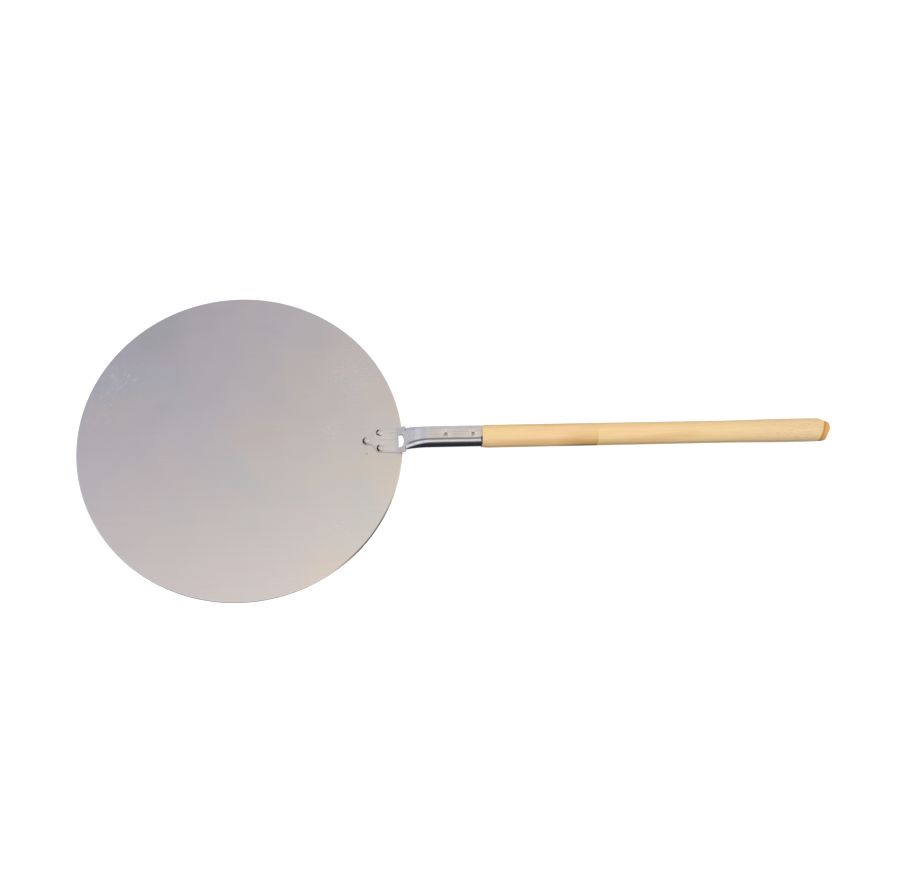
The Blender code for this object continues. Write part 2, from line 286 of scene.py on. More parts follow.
def rolledBladeAluminium():
    # cold-rolled aluminium sheet, satin, never polished: a soft cloudy sheen with faint rolling
    # lines, handling smudges, a heat tint and short scratches where the rim has slid on stone
    look = {
        "grey": "D7D3DC", "cool": "D1D3DC", "warm": "DAD4D7", "scratch": "FFFCF8",
        "heatTint": "C6CCCC", "sootAndShadow": "3A201C", "fleck": "9A8F90", "rimShade": "5C524C",
        "frost": "F4F1EE",
        "metallic": 1.0, "roughness": (0.29, 0.33), "bump": (0.15, 0.0001),
        "cloudSize": 0.085, "smudgeSize": 0.030, "frostDot": 0.0018,
        "rollingTurn": 12, "rollingLength": 0.150,
        "rollingLine": 0.0022,  # real lines are under 0.1 mm apart, drawn wider so that they show
        "scratchWidth": 0.0007, "scratchLength": 0.008,  # real ones are hair-fine, drawn wider
        "scratchShare": 0.42,
        "scratchSets": (  # centre, reach, direction, threshold
            ((-0.118, 0.070, sheet), 0.042, 56, 0.655),
            ((-0.132, 0.034, sheet), 0.028, 60, 0.680),
            ((0.086, -0.092, sheet), 0.030, 50, 0.720),
        ),
        "heatPatch": ((-0.084, 0.118, sheet), 0.045, 0.45),  # centre, reach, most
        "frostPatches": (((0.104, 0.070, sheet), 0.044), ((0.082, 0.012, sheet), 0.016)),
        # painted shade along the rim's lower right
        "rimShadePatch": ((0.119, -0.094, 0), 0.062), "rimShadeWidth": 0.0016,
        "fleckGap": 0.0130, "fleckReach": 0.0011,  # one fleck, this far from the front rivet
        "sootAndShadowRing": (0.0031, 0.0042),
    }
    material, tree, shader, place = startMaterial("Aluminium sheet, cold rolled satin")
    clouds = addNode(tree, "ShaderNodeTexNoise", {"Scale": 1 / look["cloudSize"], "Detail": 3.0,
                     "Roughness": 0.45}, {"Vector": place})
    elsewhere = addNode(tree, "ShaderNodeMapping", {"Location": (3.1, 1.7, 0)}, {"Vector": place})
    moreClouds = addNode(tree, "ShaderNodeTexNoise", {"Scale": 0.8 / look["cloudSize"],
                         "Detail": 3.0}, {"Vector": elsewhere.outputs[0]})
    cool, warm = [
        addNode(tree, "ShaderNodeMapRange", {1: 0.42, 2: 0.70}, {0: noise.outputs[0]},
                interpolation_type="SMOOTHSTEP").outputs[0]
        for noise in (clouds, moreClouds)
    ]
    tinted = layColours(tree, look["grey"], (
        (look["cool"], cool),
        (look["warm"], warm),
        (look["heatTint"], patch(tree, place, *look["heatPatch"])),
    ))
    lines = addNode(tree, "ShaderNodeMapping", {"Rotation": (0, 0, radians(look["rollingTurn"])),
                    "Scale": (1 / look["rollingLength"], 1 / look["rollingLine"], 1)},
                    {"Vector": place})
    rolling = addNode(tree, "ShaderNodeTexNoise", {"Scale": 1.0, "Detail": 3.0},
                      {"Vector": lines.outputs[0]})
    lineTone = addNode(tree, "ShaderNodeMapRange", {1: 0.3, 2: 0.7, 3: 0.975, 4: 1.0},
                       {0: rolling.outputs[0]})
    toned = addNode(tree, "ShaderNodeVectorMath", None, {0: tinted, 1: lineTone.outputs[0]},
                    operation="MULTIPLY")
    smudges = addNode(tree, "ShaderNodeTexNoise", {"Scale": 1 / look["smudgeSize"], "Detail": 4.0,
                      "Roughness": 0.5, "Distortion": 0.5}, {"Vector": place})

    # short scratches: a noise stretched along one direction, kept only at its peaks
    marks = []
    for centre, reach, turn, threshold in look["scratchSets"]:
        along = addNode(tree, "ShaderNodeMapping", {"Rotation": (0, 0, radians(-turn)),
                        "Location": (0.37 * turn, 0, 0)}, {"Vector": place})
        stretched = addNode(tree, "ShaderNodeMapping", {
            "Scale": (1 / look["scratchLength"], 1 / look["scratchWidth"], 1)},
            {"Vector": along.outputs[0]})
        dashes = addNode(tree, "ShaderNodeTexNoise", {"Scale": 1.0, "Detail": 0.0},
                         {"Vector": stretched.outputs[0]})
        peak = addNode(tree, "ShaderNodeMapRange", {1: threshold, 2: threshold + 0.08},
                       {0: dashes.outputs[0]})
        marks.append(combine(tree, "MULTIPLY", peak.outputs[0], patch(tree, place, centre, reach)))
    scratches = combine(tree, "MAXIMUM", *marks)
    scratched = addNode(tree, "ShaderNodeMath", {1: look["scratchShare"]}, {0: scratches},
                        operation="MULTIPLY")

    # frosty rubs: fine pale dots where flour and stone have dulled the sheet
    dots = addNode(tree, "ShaderNodeTexNoise", {"Scale": 1 / look["frostDot"], "Detail": 2.0},
                   {"Vector": place})
    dotPeak = addNode(tree, "ShaderNodeMapRange", {1: 0.50, 2: 0.66, 4: 0.30}, {0: dots.outputs[0]})
    rubs = [patch(tree, place, *frostPatch) for frostPatch in look["frostPatches"]]
    frosted = combine(tree, "MULTIPLY", dotPeak.outputs[0], combine(tree, "MAXIMUM", *rubs))

    # painted shade: a dark line along one stretch of the rim's edge, where the edge and the gap under
    # it lie in shade
    flat = addNode(tree, "ShaderNodeVectorMath", {1: (1, 1, 0)}, {0: place}, operation="MULTIPLY")
    outward = addNode(tree, "ShaderNodeVectorMath", None, {0: flat.outputs[0]}, operation="LENGTH")
    atRim = addNode(tree, "ShaderNodeMapRange", {1: rimRadius - look["rimShadeWidth"],
                    2: rimRadius - look["rimShadeWidth"] / 2}, {0: outward.outputs["Value"]})
    rimShaded = combine(tree, "MULTIPLY", atRim.outputs[0], patch(tree, place, *look["rimShadePatch"]))

    rivetX, rivetY, _ = middleOf("rivet_front")
    fleckCentre = (rivetX, rivetY - look["fleckGap"], sheet)
    colour = layColours(tree, toned.outputs[0], (
        (look["fleck"], patch(tree, place, fleckCentre, look["fleckReach"])),
        (look["frost"], frosted),
        (look["scratch"], scratched.outputs[0]),
        (look["rimShade"], rimShaded),
        # brown soot with painted shadow beside each rivet
        (look["sootAndShadow"], sootAndShadowRounds(tree, place, *look["sootAndShadowRing"])),
    ))
    finishSurface(tree, shader, look, colour, smudges.outputs[0], scratches, dents=True)
    return material


def formedSocketAluminium():
    # the same sheet, drawn bright as it was pressed round the handle: lengthwise streaks, a tighter
    # gloss, and pale scuffs round the nails
    look = {
        "grey": "DCDBE4", "streak": "C7C6D1", "scuff": "F8F7FA", "crease": "77747F",
        "sootAndShadow": "3A201C", "gapShadow": "1E1A1E", "rampHighlight": "F8F6F8", "tarnishAndShade": "A2A3A8",
        "metallic": 1.0, "roughness": (0.28, 0.34), "bump": (0.12, 0.0001),
        "streakWidth": 0.0011, "streakLength": 0.030,  # real draw lines are finer, drawn 1 mm wide
        "scuffSize": 0.0016, "scuffLift": 0.004, "scuffReach": (0.0080, 0.0025), "scuffShare": 0.8,
        "highlightStart": (0.009, 0.014), "highlightEnd": (0.027, 0.021), "highlightShare": 0.55,  # behind the rim
        "neckStart": (0.0020, 0.0060),  # behind the rim
        "gapCentre": -0.0050, "gapHalfWidth": 0.0027,
        "sootAndShadowRing": (0.0031, 0.0042),
    }
    material, tree, shader, place = startMaterial("Aluminium sheet, press formed bright")
    lengthwise = addNode(tree, "ShaderNodeMapping", {"Scale": (
        1 / look["streakLength"], 1 / look["streakWidth"], 1 / look["streakWidth"])},
        {"Vector": place})
    streaks = addNode(tree, "ShaderNodeTexNoise", {"Scale": 1.0, "Detail": 3.0, "Roughness": 0.55},
                      {"Vector": lengthwise.outputs[0]})
    streaked = addNode(tree, "ShaderNodeMapRange", {1: 0.38, 2: 0.66}, {0: streaks.outputs[0]})

    # pale scuffs round the nails' heads
    patches = addNode(tree, "ShaderNodeTexNoise", {"Scale": 1 / look["scuffSize"], "Detail": 2.0},
                      {"Vector": place})
    patchPeak = addNode(tree, "ShaderNodeMapRange", {1: 0.52, 2: 0.60}, {0: patches.outputs[0]})
    farthest, nearest = look["scuffReach"]
    scuffs = []
    for nail in nailNodes:
        head = tuple(middleOf(nail) + Vector((0, 0, look["scuffLift"])))
        away = addNode(tree, "ShaderNodeVectorMath", {1: head}, {0: place}, operation="DISTANCE")
        near = addNode(tree, "ShaderNodeMapRange", {1: farthest, 2: nearest, 4: look["scuffShare"]},
                       {0: away.outputs["Value"]}, interpolation_type="SMOOTHSTEP")
        scuffs.append(combine(tree, "MULTIPLY", patchPeak.outputs[0], near.outputs[0]))
    scuffed = combine(tree, "MAXIMUM", *scuffs)

    # painted highlight: the ramp is painted brighter than the neck, where it catches the light
    where = addNode(tree, "ShaderNodeSeparateXYZ", None, {0: place}).outputs
    rampUp, rampDown = [
        addNode(tree, "ShaderNodeMapRange", {1: rimRadius + start, 2: rimRadius + full, 4: most},
                {0: where[0]}, interpolation_type="SMOOTHSTEP").outputs[0]
        for (start, full), most in ((look["highlightStart"], 1.0), (look["highlightEnd"], look["highlightShare"]))
    ]
    rampHighlight = combine(tree, "MULTIPLY", rampUp, rampDown)

    # painted shade lies in the crease along the near side of the flat, which the blank's own map
    # follows, and below the bead the near wall is painted darker, a painted shade where it faces away
    # from the light
    blankMap = addNode(tree, "ShaderNodeUVMap", uv_map="UVMap")
    across = addNode(tree, "ShaderNodeSeparateXYZ", None, {0: blankMap.outputs[0]}).outputs[1]
    half = flatColumns + shoulderColumns + wrapColumns
    crease = (1 - (flatColumns - 1.2) / half) / 2
    beside = addNode(tree, "ShaderNodeMath", {1: crease}, {0: across}, operation="SUBTRACT")
    apart = addNode(tree, "ShaderNodeMath", None, {0: beside.outputs[0]}, operation="ABSOLUTE")
    inCrease = addNode(tree, "ShaderNodeMapRange", {1: 1.5 / half, 2: 0.5 / half, 4: 0.85},
                       {0: apart.outputs[0]}, interpolation_type="SMOOTHSTEP")
    wallTop = (1 - (flatColumns + shoulderColumns) / half) / 2
    onWall = addNode(tree, "ShaderNodeMapRange", {1: wallTop + 3.2 / half, 2: wallTop + 2.2 / half,
                     4: 0.90}, {0: across}, interpolation_type="SMOOTHSTEP")
    neckStart, neckFull = look["neckStart"]
    onNeck = addNode(tree, "ShaderNodeMapRange", {1: rimRadius + neckStart, 2: rimRadius + neckFull},
                     {0: where[0]})
    creaseShade = combine(tree, "MULTIPLY", inCrease.outputs[0], onNeck.outputs[0])
    tarnishedAndShaded = combine(tree, "MULTIPLY", onWall.outputs[0], onNeck.outputs[0])

    # painted shadow: a dark patch at the rear edge, for the shadow in a gap between the sheet and the
    # wood
    atEdge = addNode(tree, "ShaderNodeMapRange", {1: socketHigh.x - 0.0016, 2: socketHigh.x - 0.0011},
                     {0: where[0]})
    sideways = addNode(tree, "ShaderNodeMath", {1: -look["gapCentre"]}, {0: where[1]},
                       operation="ADD")
    fromGap = addNode(tree, "ShaderNodeMath", None, {0: sideways.outputs[0]}, operation="ABSOLUTE")
    inGap = addNode(tree, "ShaderNodeMapRange", {1: look["gapHalfWidth"],
                    2: look["gapHalfWidth"] - 0.0006, 4: 0.95}, {0: fromGap.outputs[0]})
    onTop = addNode(tree, "ShaderNodeMath", {1: axisHeight(socketHigh.x)}, {0: where[2]},
                    operation="GREATER_THAN")
    gapShadowed = combine(tree, "MULTIPLY", atEdge.outputs[0], inGap.outputs[0], onTop.outputs[0])

    colour = layColours(tree, look["grey"], (
        (look["streak"], streaked.outputs[0]),
        (look["scuff"], scuffed),
        (look["rampHighlight"], rampHighlight),
        # painted shade in the crease and on the near wall below the bead
        (look["crease"], creaseShade),
        (look["tarnishAndShade"], tarnishedAndShaded),
        (look["gapShadow"], gapShadowed),
        # brown soot with painted shadow beside each rivet
        (look["sootAndShadow"], sootAndShadowRounds(tree, place, *look["sootAndShadowRing"])),
    ))
    finishSurface(tree, shader, look, colour, streaks.outputs[0], streaks.outputs[0])
    return material


def setRivetAluminium():
    # soft aluminium rivets, headed with a snap set: bright crowns with small hammer dimples
    look = {
        "crown": "D6D4DA", "dull": "C6C3CA", "sootAndShadow": "3A201C",
        "metallic": 1.0, "roughness": (0.44, 0.56), "bump": (0.25, 0.0002),
        "dimple": 0.0012, "sootAndShadowRing": (0.0025, 0.0040),
    }
    material, tree, shader, place = startMaterial("Aluminium rivet, snap headed")
    dimples = addNode(tree, "ShaderNodeTexNoise", {"Scale": 1 / look["dimple"], "Detail": 3.0},
                      {"Vector": place})
    dulled = addNode(tree, "ShaderNodeMapRange", {1: 0.40, 2: 0.70}, {0: dimples.outputs[0]})
    colour = layColours(tree, look["crown"], (
        (look["dull"], dulled.outputs[0]),
        # brown soot with painted shadow round the head's edge on the blade's side
        (look["sootAndShadow"], sootAndShadowRounds(tree, place, *look["sootAndShadowRing"])),
    ))
    finishSurface(tree, shader, look, colour, dimples.outputs[0], dimples.outputs[0])
    return material


def nailSteel():
    # plain wire nails with cold-struck heads, a little tarnished, with painted shade on the far edge
    # of each head
    look = {
        "steel": "C0BEC4", "tarnishAndShade": "9A969C", "grimeAndShade": "3E3638",
        "metallic": 1.0, "roughness": (0.35, 0.50), "grain": 0.0009,
    }
    material, tree, shader, place = startMaterial("Steel nail, cold struck")
    grain = addNode(tree, "ShaderNodeTexNoise", {"Scale": 1 / look["grain"], "Detail": 3.0},
                    {"Vector": place})
    tarnishedAndShaded = addNode(tree, "ShaderNodeMapRange", {1: 0.35, 2: 0.60}, {0: grain.outputs[0]})
    split = addNode(tree, "ShaderNodeSeparateXYZ", None, {0: place})
    # painted shade: the far side of each nail is painted darker
    farEdgeShade = addNode(tree, "ShaderNodeMapRange", {1: 0.0004, 2: 0.0011, 4: 0.85},
                      {0: split.outputs[1]})
    colour = layColours(tree, look["steel"], (
        (look["tarnishAndShade"], tarnishedAndShaded.outputs[0]),
        (look["grimeAndShade"], farEdgeShade.outputs[0]),
    ))
    finishSurface(tree, shader, look, colour, grain.outputs[0])
    return material


def turnedBeech(axisStart, slope, length):
    # pale turned wood, sanded and left with a little oil: soft lengthwise grain over broad bands,
    # a grimy patch where a hand has held it, and browner end grain on the rounded end
    look = {
        "pale": "DFC391", "peach": "E2C096", "band": "D4AE78", "fibre": "BE9460",
        "grimeAndShade": "BC883C", "soil": "5E431F", "dry": "D8BD98", "speck": "A98458",
        "endGrain": "C8934E", "endLine": "AE7026", "line": "8E6233",
        "metallic": 0.0, "roughness": (0.48, 0.62), "bump": (0.20, 0.0002), "specular": 0.30,
        "bandWidth": 0.0070, "bandLength": 0.110, "peachSize": 0.050,
        "fibreWidth": 0.0008, "fibreLength": 0.030,  # real fibres are 0.2 mm wide
        "speckWidth": 0.0012, "speckLength": 0.0060,  # real flecks of beech are half as wide
        "ringStep": 0.0030, "ringSway": 0.0060,
        "grimeStart": 0.068, "grimeEnd": 0.1145,  # from the handle's shoulder
        "soilStart": 0.085, "speckStart": 0.105, "endCut": 0.0083,  # from the handle's end
        "cutBow": (-8.0, -0.33),  # how the slanting cut bows and leans across the stick
    }
    material, tree, shader, place = startMaterial("Beech, turned and oiled")
    centred = addNode(tree, "ShaderNodeMapping", {"Location": tuple(-v for v in axisStart)},
                      {"Vector": place})
    wood = addNode(tree, "ShaderNodeMapping", {"Rotation": (0, slope, 0)},
                   {"Vector": centred.outputs[0]}).outputs[0]
    along, across, up = addNode(tree, "ShaderNodeSeparateXYZ", None, {0: wood}).outputs

    # growth rings round a pith well outside the stick, slightly tilted, so they run out in long bands
    ringPlace = addNode(tree, "ShaderNodeMapping", {"Location": (0, 0.030, 0.045),
                        "Rotation": (0, radians(1.6), radians(0.9))}, {"Vector": wood})
    wander = addNode(tree, "ShaderNodeMapping", {"Scale": (6, 60, 60)}, {"Vector": wood})
    sway = addNode(tree, "ShaderNodeTexNoise", {"Scale": 1.0, "Detail": 2.0},
                   {"Vector": wander.outputs[0]})
    swayStep = addNode(tree, "ShaderNodeVectorMath", {"Scale": look["ringSway"]},
                       {0: sway.outputs["Color"]}, operation="SCALE")
    swayed = addNode(tree, "ShaderNodeVectorMath", None,
                     {0: ringPlace.outputs[0], 1: swayStep.outputs[0]}, operation="ADD")
    rings = addNode(tree, "ShaderNodeTexWave", {"Scale": pi / 10 / look["ringStep"],
                    "Distortion": 1.2, "Detail": 2.0, "Detail Scale": 0.6},
                    {"Vector": swayed.outputs[0]}, wave_type="RINGS", rings_direction="X",
                    wave_profile="SIN")
    ringed = addNode(tree, "ShaderNodeMapRange", {1: 0.5, 2: 1.0, 4: 0.09},
                     {0: rings.outputs["Fac"]})

    # three noises drawn out along the stick, by their length, width, detail and roughness
    drawnOut = (
        (look["bandLength"], look["bandWidth"], 3.0, 0.5),
        (look["fibreLength"], look["fibreWidth"], 3.0, 0.6),
        (look["speckLength"], look["speckWidth"], 1.0, 0.5),
    )
    noises = []
    for stretch, width, detail, roughness in drawnOut:
        stretched = addNode(tree, "ShaderNodeMapping", {
            "Scale": (1 / stretch, 1 / width, 1 / width)}, {"Vector": wood})
        noises.append(addNode(tree, "ShaderNodeTexNoise", {"Scale": 1.0, "Detail": detail,
                      "Roughness": roughness}, {"Vector": stretched.outputs[0]}).outputs[0])
    bands, fibres, specks = noises
    hues = addNode(tree, "ShaderNodeTexNoise", {"Scale": 1 / look["peachSize"], "Detail": 1.0},
                   {"Vector": wood})
    peachy = addNode(tree, "ShaderNodeMapRange", {1: 0.40, 2: 0.62}, {0: hues.outputs[0]},
                     interpolation_type="SMOOTHSTEP")
    banded = addNode(tree, "ShaderNodeMapRange", {1: 0.42, 2: 0.70, 4: 0.85}, {0: bands},
                     interpolation_type="SMOOTHSTEP")
    fibred = addNode(tree, "ShaderNodeMapRange", {1: 0.54, 2: 0.80, 4: 0.42}, {0: fibres})

    # grime on the near side, ending sharply where something was tied round the stick
    fadeIn = addNode(tree, "ShaderNodeMapRange", {1: look["grimeStart"], 2: look["grimeStart"] + 0.03},
                     {0: along}, interpolation_type="SMOOTHSTEP")
    stop = addNode(tree, "ShaderNodeMapRange", {1: look["grimeEnd"] + 0.0006, 2: look["grimeEnd"]},
                   {0: along})
    stretch = combine(tree, "MULTIPLY", fadeIn.outputs[0], stop.outputs[0])
    nearSide = addNode(tree, "ShaderNodeMapRange", {1: 0.0025, 2: -0.0060, 4: 0.62}, {0: across})
    blotches = addNode(tree, "ShaderNodeMapRange", {1: 0.30, 2: 0.60, 3: 0.35, 4: 1.0}, {0: bands})
    grimed = combine(tree, "MULTIPLY", stretch, nearSide.outputs[0], blotches.outputs[0])

    # darker soil low down in the same stretch, and a line of it along the far side near the end
    lowDown = addNode(tree, "ShaderNodeMapRange", {1: 0.0035, 2: 0.0005}, {0: up})
    lowSide = addNode(tree, "ShaderNodeMapRange", {1: -0.0096, 2: -0.0106, 4: 0.75}, {0: across})
    soilNear = combine(tree, "MULTIPLY", lowSide.outputs[0], lowDown.outputs[0], stretch)
    farSide = addNode(tree, "ShaderNodeMapRange", {1: 0.0104, 2: 0.0112, 4: 0.45}, {0: across})
    farStretch = addNode(tree, "ShaderNodeMapRange", {1: length - look["soilStart"],
                         2: length - look["soilStart"] + 0.015}, {0: along},
                         interpolation_type="SMOOTHSTEP")
    soilFar = combine(tree, "MULTIPLY", farSide.outputs[0], farStretch.outputs[0])
    soiled = combine(tree, "MAXIMUM", soilNear, soilFar)

    # drier, greyer wood with fine specks towards the end
    dried = addNode(tree, "ShaderNodeMapRange", {1: length * 0.45, 2: length * 0.95, 4: 0.65},
                    {0: along}, interpolation_type="SMOOTHSTEP")
    speckPeak = addNode(tree, "ShaderNodeMapRange", {1: 0.54, 2: 0.70, 4: 0.22}, {0: specks})
    nearEnd = addNode(tree, "ShaderNodeMapRange", {1: length - look["speckStart"],
                      2: length - look["speckStart"] + 0.060}, {0: along})
    specked = combine(tree, "MULTIPLY", speckPeak.outputs[0], nearEnd.outputs[0])

    # one dark line of grain low on the near side
    lineSway = addNode(tree, "ShaderNodeMath", {1: 0.0016, 2: 0.0012}, {0: bands},
                       operation="MULTIPLY_ADD")
    fromLine = combine(tree, "SUBTRACT", up, lineSway.outputs[0])
    lineGap = addNode(tree, "ShaderNodeMath", None, {0: fromLine}, operation="ABSOLUTE")
    onLine = addNode(tree, "ShaderNodeMapRange", {1: 0.0006, 2: 0.0002, 4: 0.55},
                     {0: lineGap.outputs[0]})
    lineSide = addNode(tree, "ShaderNodeMath", {1: -0.003}, {0: across}, operation="LESS_THAN")
    lined = combine(tree, "MULTIPLY", onLine.outputs[0], lineSide.outputs[0])

    # end grain: past the slanting cut the fibres drink the oil, darkest along the cut's edge
    endStart = length - look["endCut"]
    curve, lean = look["cutBow"]
    bow = addNode(tree, "ShaderNodeMath", {1: curve, 2: lean}, {0: across},
                  operation="MULTIPLY_ADD")
    bowed = combine(tree, "MULTIPLY", bow.outputs[0], across)
    pastCut = combine(tree, "ADD", along, bowed)
    ended = addNode(tree, "ShaderNodeMapRange", {1: endStart, 2: endStart + 0.0008, 4: 0.90},
                    {0: pastCut})
    fromCut = addNode(tree, "ShaderNodeMath", {1: endStart + 0.0006}, {0: pastCut},
                      operation="SUBTRACT")
    cutGap = addNode(tree, "ShaderNodeMath", None, {0: fromCut.outputs[0]}, operation="ABSOLUTE")
    cutEdge = addNode(tree, "ShaderNodeMapRange", {1: 0.0014, 2: 0.0007, 4: 0.75},
                      {0: cutGap.outputs[0]})

    colour = layColours(tree, look["pale"], (
        (look["peach"], peachy.outputs[0]),
        (look["band"], banded.outputs[0]),
        (look["fibre"], ringed.outputs[0]),
        (look["fibre"], fibred.outputs[0]),
        (look["grimeAndShade"], grimed),
        (look["soil"], soiled),
        (look["dry"], dried.outputs[0]),
        (look["speck"], specked),
        (look["line"], lined),
        (look["endGrain"], ended.outputs[0]),
        (look["endLine"], cutEdge.outputs[0]),
    ))
    finishSurface(tree, shader, look, colour, bands, fibres)
    shader.inputs["Specular IOR Level"].default_value = look["specular"]
    return material


# Blade: a round of sheet with a deburred edge, countersunk for the rivets' tails

bladeShape = {
    "rimSides": 240,
    "deburr": 0.00062,  # rounding of the sheared edge
    "deburrSteps": 4,
    "reliefStart": rimRadius - 0.0044,  # the rim is cut away under the socket's opening
    "reliefHalfWidth": 0.0080,
    "reliefCorner": 0.0020,
    "reliefOvershoot": 0.004,
    "faceBand": 0.0012,
    "rivetHole": 0.0022,
    "countersink": 0.0032,
    "countersinkDepth": 0.0008,
}


def rivetHoleCutters(shape):
    sides = 32
    below = 0.001
    flare = (shape["countersink"] - shape["rivetHole"]) / shape["countersinkDepth"]
    rings = [
        (shape["countersink"] + flare * below, -below),
        (shape["rivetHole"], shape["countersinkDepth"]),
        (shape["rivetHole"], tangTop + sheet),
    ]
    first = turnRings(rings, sides, pole=False)
    turn = Matrix.Rotation(pi / sides, 4, "Z")
    cutters = []
    for node in rivetNodes:
        centre = middleOf(node)
        place = Matrix.Translation((centre.x, centre.y, 0)) @ turn
        cutters.append(copyTo(first, node + "Hole", place))
    bpy.data.objects.remove(first)
    return cutters


def makeBlade(shape):
    deselectAll()
    bpy.ops.mesh.primitive_cylinder_add(
        vertices=shape["rimSides"], radius=rimRadius, depth=sheet, location=(0, 0, sheet / 2)
    )
    blade = bpy.context.object
    settle(blade, "bladeSheet")
    pickEdges(blade, lambda a, b: abs(a.z - b.z) < sheet / 4)
    bpy.ops.mesh.bevel(
        offset=shape["deburr"], segments=shape["deburrSteps"], profile=0.5, affect="EDGES"
    )
    bpy.ops.object.mode_set(mode="OBJECT")
    for up in (1, -1):  # a narrow band inside each edge keeps the wide faces flat in the light
        pickFaces(blade, lambda centre, normal: normal.z * up > 0.99 and centre.xy.length < 0.01)
        bpy.ops.mesh.inset(thickness=shape["faceBand"])
        bpy.ops.object.mode_set(mode="OBJECT")

    deselectAll()
    halfWidth = shape["reliefHalfWidth"]
    depth = rimRadius + shape["reliefOvershoot"] - shape["reliefStart"]
    bpy.ops.mesh.primitive_cube_add(size=1, location=(shape["reliefStart"] + depth / 2, 0, 0))
    relief = bpy.context.object
    relief.scale = (depth, 2 * halfWidth, 4 * sheet)
    settle(relief, "relief")
    pickEdges(relief, lambda a, b: abs(a.z - b.z) > sheet and a.x < rimRadius)
    bpy.ops.mesh.bevel(offset=shape["reliefCorner"], segments=6, profile=0.5, affect="EDGES")
    bpy.ops.object.mode_set(mode="OBJECT")
    cutAway(blade, [relief, *rivetHoleCutters(shape)])
    shadeByAngle(blade, 35)
    return blade


# Socket: one flat blank, formed into tang, ears, ramp and wrapped neck

socketShape = {
    "tongueRadius": 0.0037,
    "shoulderStart": 0.0043, "shoulderEnd": 0.0113,  # from the tongue's centre
    "shoulderHalfWidth": 0.0112,
    "earEnd": rimRadius + 0.0018, "earHalfWidth": 0.0129,
    "slit": 0.0005,
    "bend": rimRadius - 0.0043, "bendSlope": 1.05, "bendRounding": 0.0008,
    "openingEnd": rimRadius + 0.0008, "openingHalfWidth": 0.0063, "openingCorner": 0.0022,
    "openingOffset": -0.0012,
    "rampEnd": rimRadius + 0.0256,
    "footHalfWidth": 0.0109, "footFlat": 0.0074, "footDepth": 0.0055, "footWrap": 0.12,
    "neckHalfWidth": 0.0098, "neckFlat": (0.0050, 0.0068), "neckDepth": 0.0173,  # near, far
    "neckRise": 0.0085,
    "shoulderShare": 0.28, "sideShare": 0.20,
    "seamHalfWidth": 0.0006,
    "bead": 0.00018,  # low ridge along the near side of the flat, from the pressing tool
    "edgeRounding": 0.00022,
    "axisHeightAtRim": 0.0100, "slope": radians(1.5),
}
flatShares = (0, 0.2, 0.4, 0.6, 0.76, 0.84, 0.92, 1.0)
flatColumns = len(flatShares) - 1
shoulderColumns = 10
wrapColumns = 16
earColumns = 3
beadHeights = (0, 0, 0, 0, 0, 0.45, 1.0, 0.75)  # shares of the bead across the flat


def axisHeight(x, shape=socketShape):
    return shape["axisHeightAtRim"] + (x - rimRadius) * tan(shape["slope"])


def crownHeight(x, shape):
    # the sheet's top on the centre line: flat tang, steep ramp, then along the handle
    def bare(x):
        if x <= shape["bend"]:
            return tangTop
        if x >= shape["rampEnd"]:
            return axisHeight(x) + shape["neckRise"]
        length = shape["rampEnd"] - shape["bend"]
        rise = axisHeight(shape["rampEnd"]) + shape["neckRise"] - tangTop
        t = (x - shape["bend"]) / length
        leave = shape["bendSlope"] * length * (t ** 3 - 2 * t ** 2 + t)
        arrive = tan(shape["slope"]) * length * (t ** 3 - t ** 2)
        return tangTop + leave + rise * smooth(t) + arrive

    step = shape["bendRounding"]
    return (bare(x - step) + 2 * bare(x) + bare(x + step)) / 4


def tangHalfWidth(x, shape):
    tongueCentre = middleOf("rivet_front").x
    fromTongue = x - tongueCentre
    if fromTongue < 0:
        return sqrt(max(shape["tongueRadius"] ** 2 - fromTongue ** 2, 0))
    if fromTongue < shape["shoulderStart"]:
        return shape["tongueRadius"]
    if fromTongue < shape["shoulderEnd"]:
        share = (fromTongue - shape["shoulderStart"]) / (shape["shoulderEnd"] - shape["shoulderStart"])
        return mix(shape["tongueRadius"], shape["shoulderHalfWidth"], smooth(share))
    flareStart = tongueCentre + shape["shoulderEnd"]
    share = (x - flareStart) / (shape["earEnd"] - flareStart)
    return mix(shape["shoulderHalfWidth"], shape["earHalfWidth"], share)


def neckSection(x, shape, side, inset=0.0):
    # the far (1) or near (-1) half of the section at x, as (y, z) from the flat's middle to the seam
    start = shape["earEnd"] + shape["slit"]
    share = min((x - start) / (shape["rampEnd"] - start), 1)
    ease = sin(pi / 2 * share)
    halfWidth = mix(shape["footHalfWidth"], shape["neckHalfWidth"], ease) - inset
    flat = mix(shape["footFlat"], shape["neckFlat"][side > 0], 1 - (1 - share) ** 2.6)
    fullDepth = mix(shape["footDepth"], shape["neckDepth"], ease)
    crown = crownHeight(x, shape) - inset
    shoulder = shape["shoulderShare"] * fullDepth - inset
    wall = shape["sideShare"] * fullDepth
    belly = fullDepth - 2 * inset - shoulder - wall
    bead = shape["bead"] * smooth(share) * (inset == 0 and side < 0)
    points = [(flat * part, crown + bead * lift) for part, lift in zip(flatShares, beadHeights)]
    for i in range(1, shoulderColumns + 1):
        angle = pi / 2 * i / shoulderColumns
        lift = bead * 0.75 * (1 - i / shoulderColumns) ** 2
        points.append(
            (flat + (halfWidth - flat) * sin(angle), crown - shoulder * (1 - cos(angle)) + lift)
        )
    seamAngle = pi / 2 - asin(shape["seamHalfWidth"] / halfWidth)
    wrap = mix(shape["footWrap"], 1, share)
    for i in range(1, wrapColumns + 1):
        reach = wrap * i / wrapColumns
        angle = seamAngle * max(reach - shape["sideShare"], 0) / (1 - shape["sideShare"])
        drop = wall * min(reach / shape["sideShare"], 1)
        points.append((halfWidth * cos(angle), crown - shoulder - drop - belly * sin(angle)))
    return points


